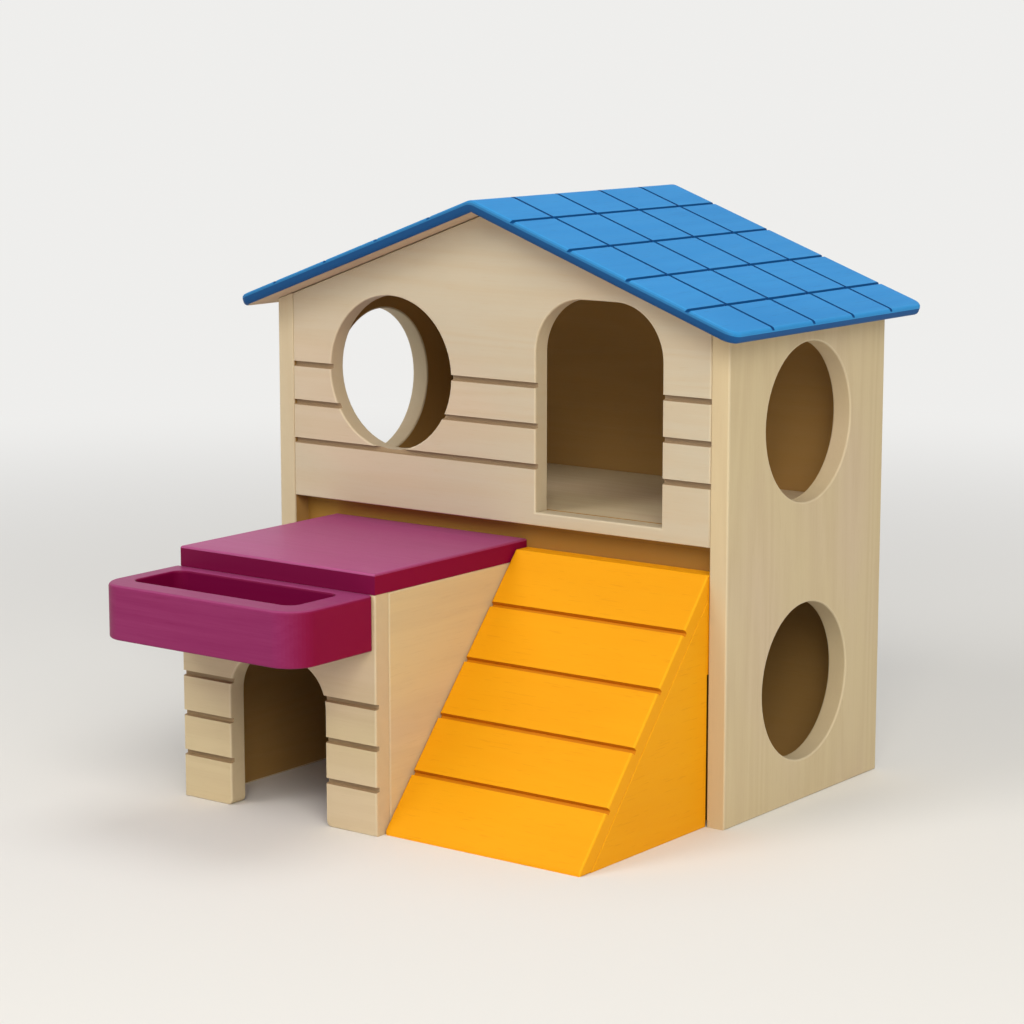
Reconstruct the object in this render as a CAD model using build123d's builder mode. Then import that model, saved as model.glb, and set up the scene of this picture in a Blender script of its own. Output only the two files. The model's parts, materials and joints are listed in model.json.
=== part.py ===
"""A wooden play house for hamsters: a two-storey house with a loose roof, an annex, a trough and a ramp.

Millimetres, +Z up, the front towards -Y. The origin is the middle of the footprint, on the ground.
"""
import os
from math import atan2, cos, degrees, radians, sin, tan

from build123d import *

# House
board = 5.2
house_width = 142.0
house_depth = 73.2
overall_height = 150.0
upper_floor_top = 72.4
sill_height = 3.4
floor_rail = 6.0

# Roof
roof_pitch = 20.0
roof_board = 3.0
eave_overhang = 6.8
gable_overhang = 8.8
roof_corner = 3.5
roof_edge_round = 1.0
ridge_round = 4.0
tile_length = 18.7
tile_height = 18.2
score_width = 1.3
score_depth = 0.7
former_depth = 15.0
batten_width = 14.0
batten_depth = 9.0

# Windows, door and saw grooves
window_radius = 20.0
front_window_rise = 11.6
upper_window_rise = 3.6
lower_window_rise = 10.5
window_cover = 4.8
door_width = 38.0
door_height = 54.0
door_corner = 14.0
door_cover = 1.4
groove_width = 1.3
groove_depth = 1.2
groove_pitch = 10.2
groove_count = 3
panel_groove_rise = 14.9
annex_groove_rise = 11.5

# Annex and deck
annex_inset = 10.2
annex_width = 63.0
annex_depth = 55.0
arch_width = 31.0
arch_height = 40.0
arch_corner = 11.0
deck_board_thickness = 5.2
deck_drop = 4.6
deck_edge_round = 0.9

# Feeding trough
trough_depth = 28.0
trough_height = 13.6
trough_left_overhang = 1.8
trough_right_inset = 0.8
trough_corner = 7.5
trough_left_rim = 5.0
trough_right_rim = 7.0
trough_front_rim = 7.0
trough_back_rim = 3.6
trough_floor = 5.0
trough_pocket_corner = 3.0
trough_edge_round = 0.8

# Ramp
ramp_foot_setback = 2.8
ramp_step_down = 2.1
ramp_nose = 1.2
tread_board = 4.0
plank_count = 5
ramp_peg_setback = 4.8
batten_below_peg = 3.4

# Roundings give way to these shares of the width or thickness that they are cut in
corner_limit = 0.49
edge_limit = 0.45

# Wooden pegs in the joints
dowel_diameter = 2.4
dowel_in_end = 8.0
dowel_cover = 1.8
low_peg_share = 0.2
high_peg_share = 0.8

# Clearances
roof_seat_gap = 0.2
former_gap = 0.5
dowel_gap = 0.1
ramp_annex_gap = 0.3
ramp_wall_gap = 0.15

# Places across the house
outer_half = house_width / 2
inner_half = outer_half - board
eave_x = outer_half + eave_overhang
opening_x = inner_half / 2
annex_left = annex_inset - inner_half
annex_right = annex_left + annex_width
annex_middle = annex_left + annex_width / 2
trough_left = annex_left - trough_left_overhang
trough_right = annex_right - trough_right_inset
trough_length = trough_right - trough_left
pocket_length = trough_length - trough_left_rim - trough_right_rim
ramp_left = annex_right + ramp_annex_gap
ramp_right = inner_half - ramp_wall_gap
ramp_width = ramp_right - ramp_left
ramp_middle = ramp_left + ramp_width / 2

# Places from front to rear, with the whole footprint centred on the origin
front_y = (annex_depth + trough_depth - house_depth - gable_overhang) / 2
panel_back_y = front_y + board
lower_wall_back_y = panel_back_y + board
rear_y = front_y + house_depth
rear_wall_front_y = rear_y - board
middle_y = front_y + house_depth / 2
annex_front_y = front_y - annex_depth
annex_wall_back_y = annex_front_y + board
trough_front_y = annex_front_y - trough_depth
pocket_width = trough_depth - trough_front_rim - trough_back_rim
ramp_foot_y = annex_front_y + ramp_foot_setback
ramp_run = front_y - ramp_foot_y

# Heights
floor_bottom = upper_floor_top - board
panel_bottom = upper_floor_top - sill_height
deck_top = panel_bottom - deck_drop
deck_bottom = deck_top - deck_board_thickness
trough_bottom = deck_bottom - trough_height
ramp_top = deck_top - ramp_step_down
groove_rises = [i * groove_pitch for i in range(groove_count)]

# Roof slope: the ridge is an arc between the two top faces
pitch = radians(roof_pitch)
ridge_centre_z = overall_height - ridge_round
roof_top_apex = ridge_centre_z + ridge_round / cos(pitch)
roof_under_apex = roof_top_apex - roof_board / cos(pitch)
eave_under_x = eave_x - roof_board * sin(pitch)
roof_length = house_depth + 2 * gable_overhang
slope_length = eave_x / cos(pitch)


def roof_under(x):
    """Height of the roof's underside at a distance from the middle."""
    return roof_under_apex - abs(x) * tan(pitch)


def wall_top(x):
    """Height of the wall boards under the roof, with the seat's clearance."""
    return roof_under(x) - roof_seat_gap


# Windows and door: as drilled, or as large as the wall under the roof leaves room for
front_window_room = wall_top(opening_x) - window_cover - upper_floor_top - front_window_rise
front_window_radius = min(window_radius, front_window_room / 2)
front_window_z = upper_floor_top + front_window_rise + front_window_radius
upper_window_room = wall_top(outer_half) - window_cover - upper_floor_top - upper_window_rise
upper_window_radius = min(window_radius, upper_window_room / 2)
upper_window_z = upper_floor_top + upper_window_rise + upper_window_radius
lower_window_z = lower_window_rise + window_radius
door_top = min(upper_floor_top + door_height, wall_top(opening_x + door_width / 2) - door_cover)

# Ramp slope
ramp_angle = atan2(ramp_top - ramp_nose, ramp_run)
tread_drop = tread_board / cos(ramp_angle)
tread_under_foot_y = front_y - (ramp_top - tread_drop) / tan(ramp_angle)
plank_length = ramp_run / cos(ramp_angle) / plank_count

# Pegs: each goes deep into a board's end, and stops short of the far side of the board it meets
dowel_radius = dowel_diameter / 2
dowel_hole_radius = dowel_radius + dowel_gap
dowel_in_face = min(board, deck_board_thickness) - dowel_cover
dowel_length = dowel_in_face + dowel_in_end - 2 * dowel_gap
peg_shares = (low_peg_share, high_peg_share)
rear_peg_places = [(rear_y - board / 2, share * upper_floor_top) for share in peg_shares]
rear_peg_places.append((rear_y - board / 2, upper_window_z))
panel_height = wall_top(inner_half) - panel_bottom
panel_peg_places = [(front_y + board / 2, panel_bottom + share * panel_height) for share in peg_shares]
lower_peg_places = [(panel_back_y + board / 2, share * floor_bottom) for share in peg_shares]
annex_peg_x = (annex_left + board / 2, annex_right - board / 2)
annex_peg_z = (annex_groove_rise + groove_pitch / 2, trough_bottom - dowel_diameter)
annex_peg_places = [(x, z) for x in annex_peg_x for z in annex_peg_z]
deck_peg_places = [(x, front_y - share * (annex_depth - board)) for x in annex_peg_x for share in peg_shares]
trough_peg_x = [trough_left + share * trough_length for share in peg_shares]
trough_peg_places = [(x, trough_bottom + trough_floor / 2) for x in trough_peg_x]
ramp_peg_z = ramp_top - tread_drop - (dowel_in_end + ramp_peg_setback) * tan(ramp_angle)
cheek_peg_places = [(x, ramp_peg_z) for x in (ramp_left + board / 2, ramp_right - board / 2)]
batten_peg_places = [(ramp_left + (0.5 + side * low_peg_share) * ramp_width, ramp_peg_z) for side in (-1, 1)]
head_batten_height = ramp_top - ramp_peg_z + batten_below_peg

# Planes that face the front, so a sketch on them reads across and up
front_plane = Plane(origin=(0, front_y, 0), x_dir=(1, 0, 0), z_dir=(0, -1, 0))
panel_back_plane = front_plane.offset(-board)
rear_inner_plane = front_plane.offset(board - house_depth)
annex_front_plane = front_plane.offset(annex_depth)
annex_back_plane = front_plane.offset(annex_depth - board)
roof_front_plane = front_plane.offset(gable_overhang)
roof_top_plane = Plane(
    origin=(0, middle_y, roof_top_apex), x_dir=(cos(pitch), 0, -sin(pitch)), z_dir=(sin(pitch), 0, cos(pitch))
)
tread_plane = Plane(
    origin=(ramp_middle, ramp_foot_y, ramp_nose),
    x_dir=(1, 0, 0),
    z_dir=(0, -sin(ramp_angle), cos(ramp_angle)),
)

# Side walls: bevelled on top to the roof's slope, with a window for each storey
with BuildPart() as right_side_wall:
    with BuildSketch(front_plane):
        with BuildLine():
            Polyline(
                (inner_half, 0),
                (outer_half, 0),
                (outer_half, wall_top(outer_half)),
                (inner_half, wall_top(inner_half)),
                close=True,
            )
        make_face()
    extrude(amount=-house_depth)
    with BuildSketch(Plane.YZ.offset(outer_half)):
        with Locations((middle_y, lower_window_z)):
            Circle(window_radius)
        with Locations((middle_y, upper_window_z)):
            Circle(upper_window_radius)
    extrude(amount=-board, mode=Mode.SUBTRACT)
    with BuildSketch(Plane.YZ.offset(inner_half)):
        with Locations(*rear_peg_places, *panel_peg_places, *lower_peg_places):
            Circle(dowel_hole_radius)
    extrude(amount=dowel_in_face, mode=Mode.SUBTRACT)

with BuildPart() as left_side_wall:
    mirror(right_side_wall.part, about=Plane.YZ)

# Front gable panel: between the side walls, with the window on the left and the door on the right
with BuildPart() as front_gable_panel:
    with BuildSketch(front_plane):
        with BuildLine():
            Polyline(
                (-inner_half, panel_bottom),
                (inner_half, panel_bottom),
                (inner_half, wall_top(inner_half)),
                (0, wall_top(0)),
                (-inner_half, wall_top(inner_half)),
                close=True,
            )
        make_face()
    extrude(amount=-board)
    with BuildSketch(front_plane):
        with Locations((-opening_x, front_window_z)):
            Circle(front_window_radius)
    extrude(amount=-board, mode=Mode.SUBTRACT)
    with BuildSketch(front_plane) as door:
        with Locations((opening_x, upper_floor_top)):
            Rectangle(door_width, door_top - upper_floor_top, align=(Align.CENTER, Align.MIN))
        fillet(door.vertices().group_by(Axis.Y)[-1], min(door_corner, corner_limit * door_width))
    extrude(amount=-board, mode=Mode.SUBTRACT)
    with BuildSketch(front_plane):
        with Locations(*[(0, panel_bottom + panel_groove_rise + rise) for rise in groove_rises]):
            Rectangle(2 * inner_half, groove_width)
    extrude(amount=-groove_depth, mode=Mode.SUBTRACT)
    for side in (-1, 1):
        with BuildSketch(Plane.YZ.offset(side * inner_half)):
            with Locations(*panel_peg_places):
                Circle(dowel_hole_radius)
        extrude(amount=-side * dowel_in_end, mode=Mode.SUBTRACT)

# Rear wall: closed, from the ground to the roof
with BuildPart() as rear_wall:
    with BuildSketch(rear_inner_plane):
        with BuildLine():
            Polyline(
                (-inner_half, 0),
                (inner_half, 0),
                (inner_half, wall_top(inner_half)),
                (0, wall_top(0)),
                (-inner_half, wall_top(inner_half)),
                close=True,
            )
        make_face()
    extrude(amount=-board)
    for side in (-1, 1):
        with BuildSketch(Plane.YZ.offset(side * inner_half)):
            with Locations(*rear_peg_places):
                Circle(dowel_hole_radius)
        extrude(amount=-side * dowel_in_end, mode=Mode.SUBTRACT)

# Lower front wall: one board behind the gable panel, with an arch through to the annex
with BuildPart() as lower_front_wall:
    with BuildSketch(panel_back_plane):
        Rectangle(2 * inner_half, floor_bottom, align=(Align.CENTER, Align.MIN))
    extrude(amount=-board)
    with BuildSketch(panel_back_plane) as passage:
        with Locations((annex_middle, 0)):
            Rectangle(arch_width, arch_height, align=(Align.CENTER, Align.MIN))
        fillet(passage.vertices().group_by(Axis.Y)[-1], min(arch_corner, corner_limit * arch_width))
    extrude(amount=-board, mode=Mode.SUBTRACT)
    for side in (-1, 1):
        with BuildSketch(Plane.YZ.offset(side * inner_half)):
            with Locations(*lower_peg_places):
                Circle(dowel_hole_radius)
        extrude(amount=-side * dowel_in_end, mode=Mode.SUBTRACT)
    with BuildSketch(panel_back_plane):
        with Locations(*batten_peg_places):
            Circle(dowel_hole_radius)
    extrude(amount=-dowel_in_face, mode=Mode.SUBTRACT)

# Upper floor, on a rail along each side wall
with BuildPart() as upper_floor:
    with BuildSketch(Plane.XY.offset(floor_bottom)):
        with Locations((0, panel_back_y)):
            Rectangle(2 * inner_half, rear_wall_front_y - panel_back_y, align=(Align.CENTER, Align.MIN))
    extrude(amount=board)

with BuildPart() as right_floor_rail:
    with BuildSketch(Plane.XY.offset(floor_bottom)):
        with Locations((inner_half, lower_wall_back_y)):
            Rectangle(floor_rail, rear_wall_front_y - lower_wall_back_y, align=(Align.MAX, Align.MIN))
    extrude(amount=-floor_rail)

with BuildPart() as left_floor_rail:
    mirror(right_floor_rail.part, about=Plane.YZ)

# Roof boards: mitred at the ridge, rounded at the edges and scored into squares
with BuildPart() as right_roof_board:
    with BuildSketch(roof_front_plane):
        with BuildLine():
            Polyline(
                (0, ridge_centre_z + ridge_round),
                (0, roof_under_apex),
                (eave_under_x, roof_under(eave_under_x)),
                (eave_x, roof_under(eave_under_x) + roof_board * cos(pitch)),
                (ridge_round * sin(pitch), ridge_centre_z + ridge_round * cos(pitch)),
            )
            ThreePointArc(
                (ridge_round * sin(pitch), ridge_centre_z + ridge_round * cos(pitch)),
                (ridge_round * sin(pitch / 2), ridge_centre_z + ridge_round * cos(pitch / 2)),
                (0, ridge_centre_z + ridge_round),
            )
        make_face()
    extrude(amount=-roof_length)
    eave_face = right_roof_board.faces().sort_by(Axis.X)[-1]
    eave_ends = eave_face.edges().group_by(Axis.Y)
    fillet(eave_ends[0] + eave_ends[-1], roof_corner)
    flat_faces = right_roof_board.faces().filter_by(Axis((0, 0, 0), roof_top_plane.z_dir))
    rim = flat_faces.edges().filter_by_position(Axis.X, 2 * ridge_round, 2 * eave_x)
    fillet(rim, min(roof_edge_round, edge_limit * roof_board))
    with BuildSketch(roof_top_plane):
        with Locations((slope_length / 2, 0)):
            with GridLocations(tile_height, 0, round(slope_length / tile_height) - 1, 1):
                Rectangle(score_width, roof_length)
            with GridLocations(0, tile_length, 1, round(roof_length / tile_length) - 1):
                Rectangle(slope_length + ridge_round, score_width)
    extrude(amount=-score_depth, mode=Mode.SUBTRACT)

with BuildPart() as left_roof_board:
    mirror(right_roof_board.part, about=Plane.YZ)

# Roof formers: they join the boards at their angle, and drop in behind the two gables
with BuildPart() as front_roof_former:
    with BuildSketch(panel_back_plane.offset(-former_gap)):
        with BuildLine():
            former_half = former_depth / tan(pitch)
            Polyline(
                (0, roof_under_apex),
                (former_half - board, roof_under(former_half - board)),
                (former_half - board, roof_under(former_half)),
                (board - former_half, roof_under(former_half)),
                (board - former_half, roof_under(former_half - board)),
                close=True,
            )
        make_face()
    extrude(amount=-board)

with BuildPart() as rear_roof_former:
    mirror(front_roof_former.part, about=Plane.XZ.offset(-middle_y))

# Ridge batten: under the mitre, from former to former
with BuildPart() as ridge_batten:
    with BuildSketch(panel_back_plane.offset(-former_gap - board)):
        with BuildLine():
            batten_half = batten_width / 2
            Polyline(
                (0, roof_under_apex),
                (batten_half, roof_under(batten_half)),
                (batten_half, roof_under_apex - batten_depth),
                (-batten_half, roof_under_apex - batten_depth),
                (-batten_half, roof_under(batten_half)),
                close=True,
            )
        make_face()
    extrude(amount=-(house_depth - 2 * (2 * board + former_gap)))

# Annex front wall: an arch between two grooved posts
with BuildPart() as annex_front_wall:
    with BuildSketch(annex_front_plane):
        with Locations((annex_left, 0)):
            Rectangle(annex_width, deck_bottom, align=(Align.MIN, Align.MIN))
    extrude(amount=-board)
    with BuildSketch(annex_front_plane) as arch:
        with Locations((annex_middle, 0)):
            Rectangle(arch_width, arch_height, align=(Align.CENTER, Align.MIN))
        fillet(arch.vertices().group_by(Axis.Y)[-1], min(arch_corner, corner_limit * arch_width))
    extrude(amount=-board, mode=Mode.SUBTRACT)
    with BuildSketch(annex_front_plane):
        with Locations(*[(annex_middle, annex_groove_rise + rise) for rise in groove_rises]):
            Rectangle(annex_width, groove_width)
    extrude(amount=-groove_depth, mode=Mode.SUBTRACT)
    with BuildSketch(annex_back_plane):
        with Locations(*annex_peg_places):
            Circle(dowel_hole_radius)
    extrude(amount=dowel_in_face, mode=Mode.SUBTRACT)
    with BuildSketch(annex_front_plane):
        with Locations(*trough_peg_places):
            Circle(dowel_hole_radius)
    extrude(amount=-dowel_in_face, mode=Mode.SUBTRACT)

# Annex side walls: from the front board to the lower front wall
with BuildPart() as annex_left_wall:
    with BuildSketch(Plane.XY):
        with Locations((annex_left, annex_wall_back_y)):
            Rectangle(board, panel_back_y - annex_wall_back_y, align=(Align.MIN, Align.MIN))
    extrude(amount=deck_bottom)
    with BuildSketch(annex_back_plane):
        with Locations(*annex_peg_places[:2]):
            Circle(dowel_hole_radius)
    extrude(amount=-dowel_in_end, mode=Mode.SUBTRACT)
    with BuildSketch(Plane.XY.offset(deck_bottom)):
        with Locations(*deck_peg_places[:2]):
            Circle(dowel_hole_radius)
    extrude(amount=-dowel_in_end, mode=Mode.SUBTRACT)

with BuildPart() as annex_right_wall:
    mirror(annex_left_wall.part, about=Plane.YZ.offset(annex_middle))

# Deck: flush with the annex, its rear edge against the lower front wall
with BuildPart() as deck_board:
    with BuildSketch(Plane.XY.offset(deck_bottom)):
        with Locations((annex_left, annex_front_y)):
            Rectangle(annex_width, panel_back_y - annex_front_y, align=(Align.MIN, Align.MIN))
    extrude(amount=deck_board_thickness)
    fillet(deck_board.faces().sort_by(Axis.Z)[-1].edges().sort_by(Axis.Y)[:-1], deck_edge_round)
    with BuildSketch(Plane.XY.offset(deck_bottom)):
        with Locations(*deck_peg_places):
            Circle(dowel_hole_radius)
    extrude(amount=dowel_in_face, mode=Mode.SUBTRACT)

# Feeding trough: a block with rounded front corners and a routed pocket, pegged below the pocket's floor
with BuildPart() as feeding_trough:
    with BuildSketch(Plane.XY.offset(trough_bottom)) as trough_outline:
        with Locations((trough_left, trough_front_y)):
            Rectangle(trough_length, trough_depth, align=(Align.MIN, Align.MIN))
        fillet(trough_outline.vertices().group_by(Axis.Y)[0], trough_corner)
    extrude(amount=trough_height)
    fillet(feeding_trough.faces().sort_by(Axis.Z)[-1].edges().sort_by(Axis.Y)[:-1], trough_edge_round)
    fillet(feeding_trough.faces().sort_by(Axis.Z)[0].edges().sort_by(Axis.Y)[:-1], trough_edge_round / 2)
    with BuildSketch(Plane.XY.offset(deck_bottom)):
        with Locations((trough_left + trough_left_rim, trough_front_y + trough_front_rim)):
            pocket_corner = min(trough_pocket_corner, corner_limit * pocket_width)
            RectangleRounded(pocket_length, pocket_width, pocket_corner, align=(Align.MIN, Align.MIN))
    extrude(amount=trough_floor - trough_height, mode=Mode.SUBTRACT)
    with BuildSketch(annex_front_plane):
        with Locations(*trough_peg_places):
            Circle(dowel_hole_radius)
    extrude(amount=dowel_in_end, mode=Mode.SUBTRACT)

# Ramp: a grooved tread on two triangular cheeks, held to the house by a batten at its head
with BuildPart() as ramp_tread:
    with BuildSketch(Plane.YZ.offset(ramp_left)):
        with BuildLine():
            Polyline(
                (ramp_foot_y, 0),
                (ramp_foot_y, ramp_nose),
                (front_y, ramp_top),
                (front_y, ramp_top - tread_drop),
                (tread_under_foot_y, 0),
                close=True,
            )
        make_face()
    extrude(amount=ramp_width)
    with BuildSketch(tread_plane):
        with Locations(*[(0, i * plank_length) for i in range(1, plank_count)]):
            Rectangle(ramp_width, groove_width)
    extrude(amount=-groove_depth, mode=Mode.SUBTRACT)

with BuildPart() as ramp_left_cheek:
    with BuildSketch(Plane.YZ.offset(ramp_left)):
        with BuildLine():
            Polyline(
                (tread_under_foot_y, 0),
                (front_y, ramp_top - tread_drop),
                (front_y, 0),
                close=True,
            )
        make_face()
    extrude(amount=board)
    with BuildSketch(front_plane):
        with Locations(cheek_peg_places[0]):
            Circle(dowel_hole_radius)
    extrude(amount=dowel_in_end, mode=Mode.SUBTRACT)

with BuildPart() as ramp_right_cheek:
    mirror(ramp_left_cheek.part, about=Plane.YZ.offset(ramp_middle))

with BuildPart() as ramp_head_batten:
    with BuildSketch(front_plane):
        with Locations((ramp_left, ramp_top)):
            Rectangle(ramp_width, head_batten_height, align=(Align.MIN, Align.MAX))
    extrude(amount=-board)
    with BuildSketch(front_plane):
        with Locations(*cheek_peg_places):
            Circle(dowel_hole_radius)
    extrude(amount=-dowel_in_face, mode=Mode.SUBTRACT)
    with BuildSketch(panel_back_plane):
        with Locations(*batten_peg_places):
            Circle(dowel_hole_radius)
    extrude(amount=dowel_in_face, mode=Mode.SUBTRACT)

# Pegs between the side walls and the boards that end on them
with BuildPart() as wall_dowels:
    for side in (-1, 1):
        with BuildSketch(Plane.YZ.offset(side * (inner_half - dowel_in_end + dowel_gap))):
            with Locations(*rear_peg_places, *panel_peg_places, *lower_peg_places):
                Circle(dowel_radius)
        extrude(amount=side * dowel_length)

# Pegs between the annex boards, and between the annex sides and the deck
with BuildPart() as annex_dowels:
    with BuildSketch(annex_back_plane.offset(dowel_in_face - dowel_gap)):
        with Locations(*annex_peg_places):
            Circle(dowel_radius)
    extrude(amount=-dowel_length)
    with BuildSketch(Plane.XY.offset(deck_bottom + dowel_in_face - dowel_gap)):
        with Locations(*deck_peg_places):
            Circle(dowel_radius)
    extrude(amount=-dowel_length)

with BuildPart() as trough_dowels:
    with BuildSketch(annex_front_plane.offset(dowel_in_end - dowel_gap)):
        with Locations(*trough_peg_places):
            Circle(dowel_radius)
    extrude(amount=-dowel_length)

with BuildPart() as ramp_dowels:
    with BuildSketch(front_plane.offset(dowel_in_end - dowel_gap)):
        with Locations(*cheek_peg_places):
            Circle(dowel_radius)
    extrude(amount=-dowel_length)
    with BuildSketch(panel_back_plane.offset(dowel_in_face - dowel_gap)):
        with Locations(*batten_peg_places):
            Circle(dowel_radius)
    extrude(amount=-2 * (dowel_in_face - dowel_gap))

pieces = {
    "left_side_wall": left_side_wall,
    "right_side_wall": right_side_wall,
    "front_gable_panel": front_gable_panel,
    "rear_wall": rear_wall,
    "lower_front_wall": lower_front_wall,
    "upper_floor": upper_floor,
    "left_floor_rail": left_floor_rail,
    "right_floor_rail": right_floor_rail,
    "left_roof_board": left_roof_board,
    "right_roof_board": right_roof_board,
    "front_roof_former": front_roof_former,
    "rear_roof_former": rear_roof_former,
    "ridge_batten": ridge_batten,
    "annex_front_wall": annex_front_wall,
    "annex_left_wall": annex_left_wall,
    "annex_right_wall": annex_right_wall,
    "deck_board": deck_board,
    "feeding_trough": feeding_trough,
    "ramp_tread": ramp_tread,
    "ramp_left_cheek": ramp_left_cheek,
    "ramp_right_cheek": ramp_right_cheek,
    "ramp_head_batten": ramp_head_batten,
    "wall_dowels": wall_dowels,
    "annex_dowels": annex_dowels,
    "trough_dowels": trough_dowels,
    "ramp_dowels": ramp_dowels,
}
os.makedirs("parts", exist_ok=True)
for name, piece in pieces.items():
    piece.part.label = name
    export_step(piece.part, f"parts/{name}.step")
print("ramp angle", round(degrees(ramp_angle), 1), "roof slope length", round(slope_length, 1))
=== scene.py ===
# %% [markdown]
# # A two-storey wooden play house
# The real house is a kit of flat boards: bare pale wood for the walls, and wood stained blue, purple and
# yellow for the roof, the deck with its trough, and the ramp. This lesson dresses the measured model of the
# house. Every board is cut again from its outline with softened edges, placed where the model has it, and
# given a finish made of shader nodes. All sizes are in metres, in the model's own frame.

# %% Load the measured model
import cmath
import json
from math import atan2, ceil, cos, pi, radians, sin, tan

import bmesh
import bpy
import numpy as np
from mathutils import Matrix, Vector


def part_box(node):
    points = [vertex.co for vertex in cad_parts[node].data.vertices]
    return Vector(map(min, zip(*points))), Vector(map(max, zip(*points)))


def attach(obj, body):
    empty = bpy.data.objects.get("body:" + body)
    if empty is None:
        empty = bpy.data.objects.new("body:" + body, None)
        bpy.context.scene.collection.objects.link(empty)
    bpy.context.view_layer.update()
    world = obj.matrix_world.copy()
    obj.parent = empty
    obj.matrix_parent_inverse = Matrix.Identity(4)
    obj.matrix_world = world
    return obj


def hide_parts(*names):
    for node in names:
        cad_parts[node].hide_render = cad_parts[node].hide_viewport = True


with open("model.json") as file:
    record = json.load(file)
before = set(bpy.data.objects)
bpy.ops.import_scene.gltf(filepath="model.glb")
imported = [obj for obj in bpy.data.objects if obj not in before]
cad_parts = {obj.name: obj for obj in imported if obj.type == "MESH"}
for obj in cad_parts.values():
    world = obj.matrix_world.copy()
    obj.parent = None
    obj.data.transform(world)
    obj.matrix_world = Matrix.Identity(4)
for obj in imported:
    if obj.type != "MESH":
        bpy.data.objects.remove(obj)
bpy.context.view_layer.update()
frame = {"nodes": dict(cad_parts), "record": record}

# %% [markdown]
# The model gives the box of every board, so most sizes are read from it. What a box can't say, such as the
# radius of a window or the slope of the roof, is named in the cell that first needs it.

# %% Boxes of the main boards
mm = 0.001
house_low, house_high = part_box("right_side_wall")
board = house_high.x - house_low.x
front_y, rear_y = house_low.y, house_high.y
inner_half = house_low.x
opening_x = inner_half / 2
panel_low, panel_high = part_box("front_gable_panel")
floor_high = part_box("upper_floor")[1]
annex_low, annex_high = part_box("annex_front_wall")
annex_middle = (annex_low.x + annex_high.x) / 2
holes = {entry["name"]: entry["box_m"] for entry in frame["record"]["physics"]["openings"]}


def middle_height(name):
    """The height of an opening's middle, from the record."""
    low, high = holes[name]
    return (low[2] + high[2]) / 2


print("board thickness", round(board / mm, 2), "mm; openings", sorted(holes))

# %% [markdown]
# ## Outlines
# A board starts as a flat outline. Corners are listed with their radius, and a round corner becomes an arc.
# Points are complex numbers here, because turning one about a centre is then a single multiplication.

# %% Outlines with round corners
arc_step = radians(6)
window_radius = 20 * mm


def outline_of(corners):
    """A closed loop of points from (x, y) or (x, y, radius) corners."""
    loop = []
    count = len(corners)
    for i in range(count):
        before, here, after = (complex(*corners[k % count][:2]) for k in (i - 1, i, i + 1))
        radius = corners[i][2] if len(corners[i]) > 2 else 0
        if radius == 0:
            loop.append(here)
            continue
        to_before = (before - here) / abs(before - here)
        to_after = (after - here) / abs(after - here)
        half_angle = abs(cmath.phase(to_after / to_before)) / 2
        middle = (to_before + to_after) / abs(to_before + to_after)
        centre = here + middle * radius / sin(half_angle)
        start = here + to_before * radius / tan(half_angle) - centre
        end = here + to_after * radius / tan(half_angle) - centre
        turn = cmath.phase(end / start)
        steps = ceil(abs(turn) / arc_step)
        loop += [centre + start * cmath.exp(1j * turn * k / steps) for k in range(steps + 1)]
    return loop


def circle_of(x, y, radius):
    """A round hole."""
    steps = round(2 * pi / arc_step)
    return [complex(x, y) + cmath.rect(radius, 2 * pi * k / steps) for k in range(steps)]


def wound(loop, sign):
    """The loop, running anticlockwise for sign 1 and clockwise for sign -1."""
    area = sum((a.conjugate() * b).imag for a, b in zip(loop, loop[1:] + loop[:1]))
    return loop if area * sign > 0 else loop[::-1]


def inset(loop, distance):
    """The loop moved to its left, which is into the wood, with mitred corners."""
    moved = []
    for before, here, after in zip(loop[-1:] + loop[:-1], loop, loop[1:] + loop[:1]):
        left_in = 1j * (here - before) / abs(here - before)
        left_out = 1j * (after - here) / abs(after - here)
        reach = 1 + (left_in.conjugate() * left_out).real
        moved.append(here + (left_in + left_out) * distance / reach)
    return moved


print("a window has", len(circle_of(0, 0, window_radius)), "points")

# %% [markdown]
# ## Cutting a board
# A sanded board has no knife edges: each arris is rounded over. A Bevel modifier could do that, but it
# struggles with flat faces that have holes. Here the rounding is built in: the outline is repeated in rings
# that step in as they near each face, the rings are joined with quads, and the two faces are filled last.
# The board lies on its back in its own frame, with its outline in X and Y and its face at Z = thickness.
# The sawn edges and the rounded arris of the face are marked, because the finishes colour them
# differently: the arris is painted lighter as a highlight.

# %% A board with softened edges
arris_steps = 3
soft_arris = 0.45 * mm


def edge_rings(thickness, face_arris, back_arris):
    """(inset, height) of each ring, from the back of the board to its face."""
    angles = [pi / 2 * k / arris_steps for k in range(arris_steps + 1)]
    back = [(back_arris * (1 - sin(a)), back_arris * (1 - cos(a))) for a in angles]
    face = [(face_arris * (1 - sin(a)), thickness - face_arris * (1 - cos(a))) for a in reversed(angles)]
    return back + face


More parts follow.
